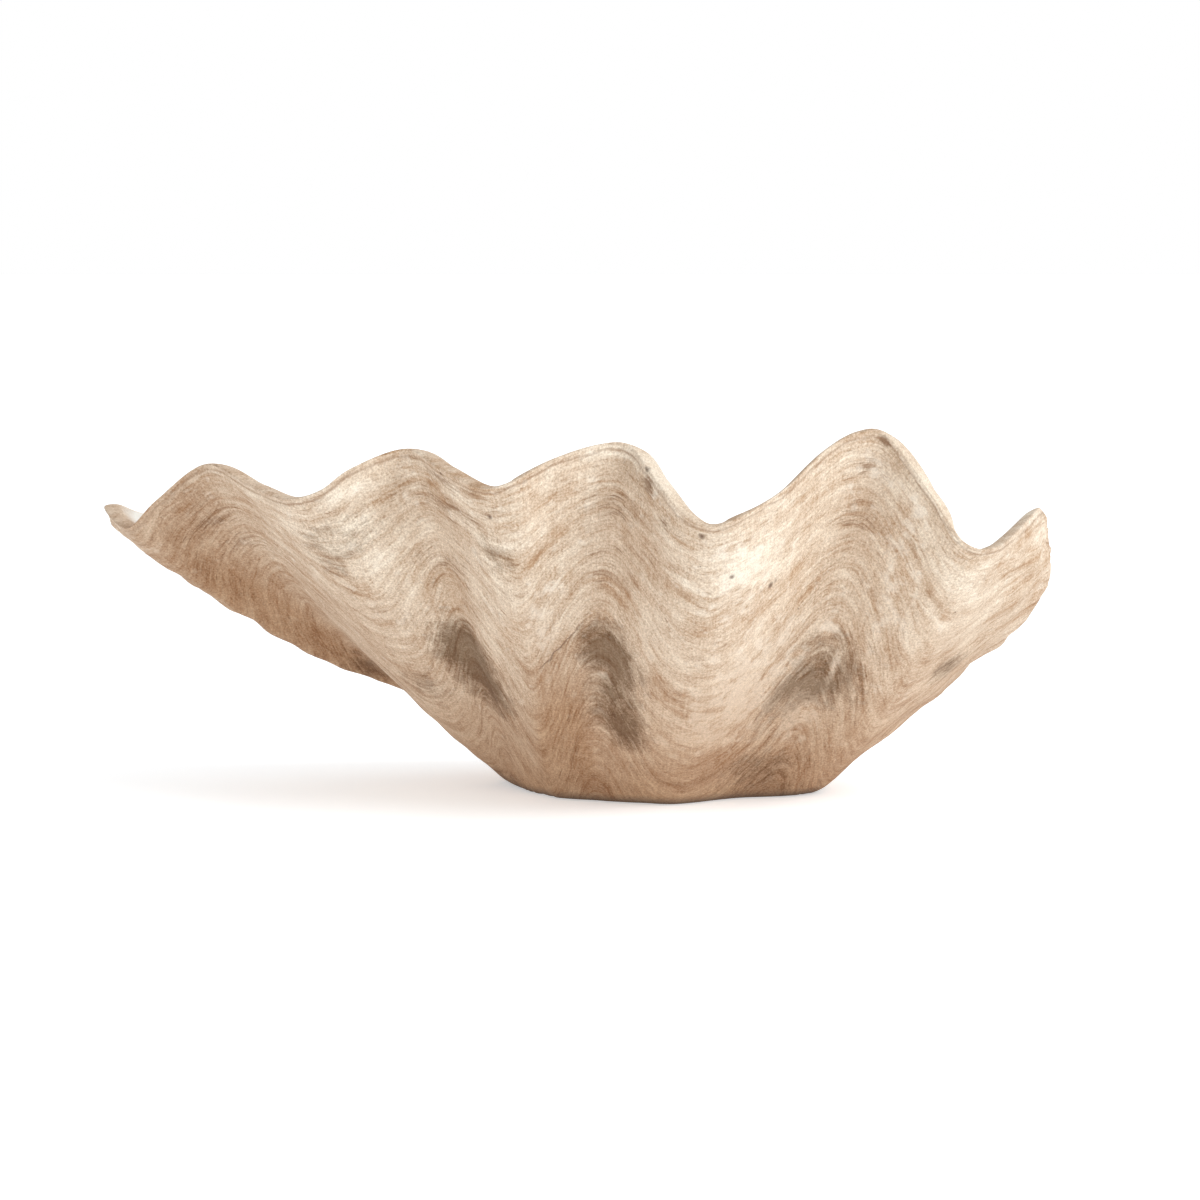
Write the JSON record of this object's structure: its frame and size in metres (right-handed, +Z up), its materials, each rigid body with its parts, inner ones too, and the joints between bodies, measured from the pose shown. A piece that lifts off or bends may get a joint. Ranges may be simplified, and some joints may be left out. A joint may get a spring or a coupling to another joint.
{
  "type": "giant clam shell",
  "caption": "Single giant clam valve with deep radial ribs and a scalloped margin, standing as an open bowl on a ground-flat base.",
  "frame": {"origin": "middle of the flat ground base that the shell stands on", "axes": "+X along the hinge to the end with the tall curled lobe, -Y toward the scalloped ventral margin, +Y the hinge and beak side, +Z up out of the bowl"},
  "size_m": [0.607, 0.3626, 0.241],
  "materials": {
    "shell": "dry weathered calcium carbonate, matt, tan and brown growth lines outside, pale and smoother inside"
  },
  "bodies": {
    "root": {"shell": "shell"}
  },
  "joints": []
}
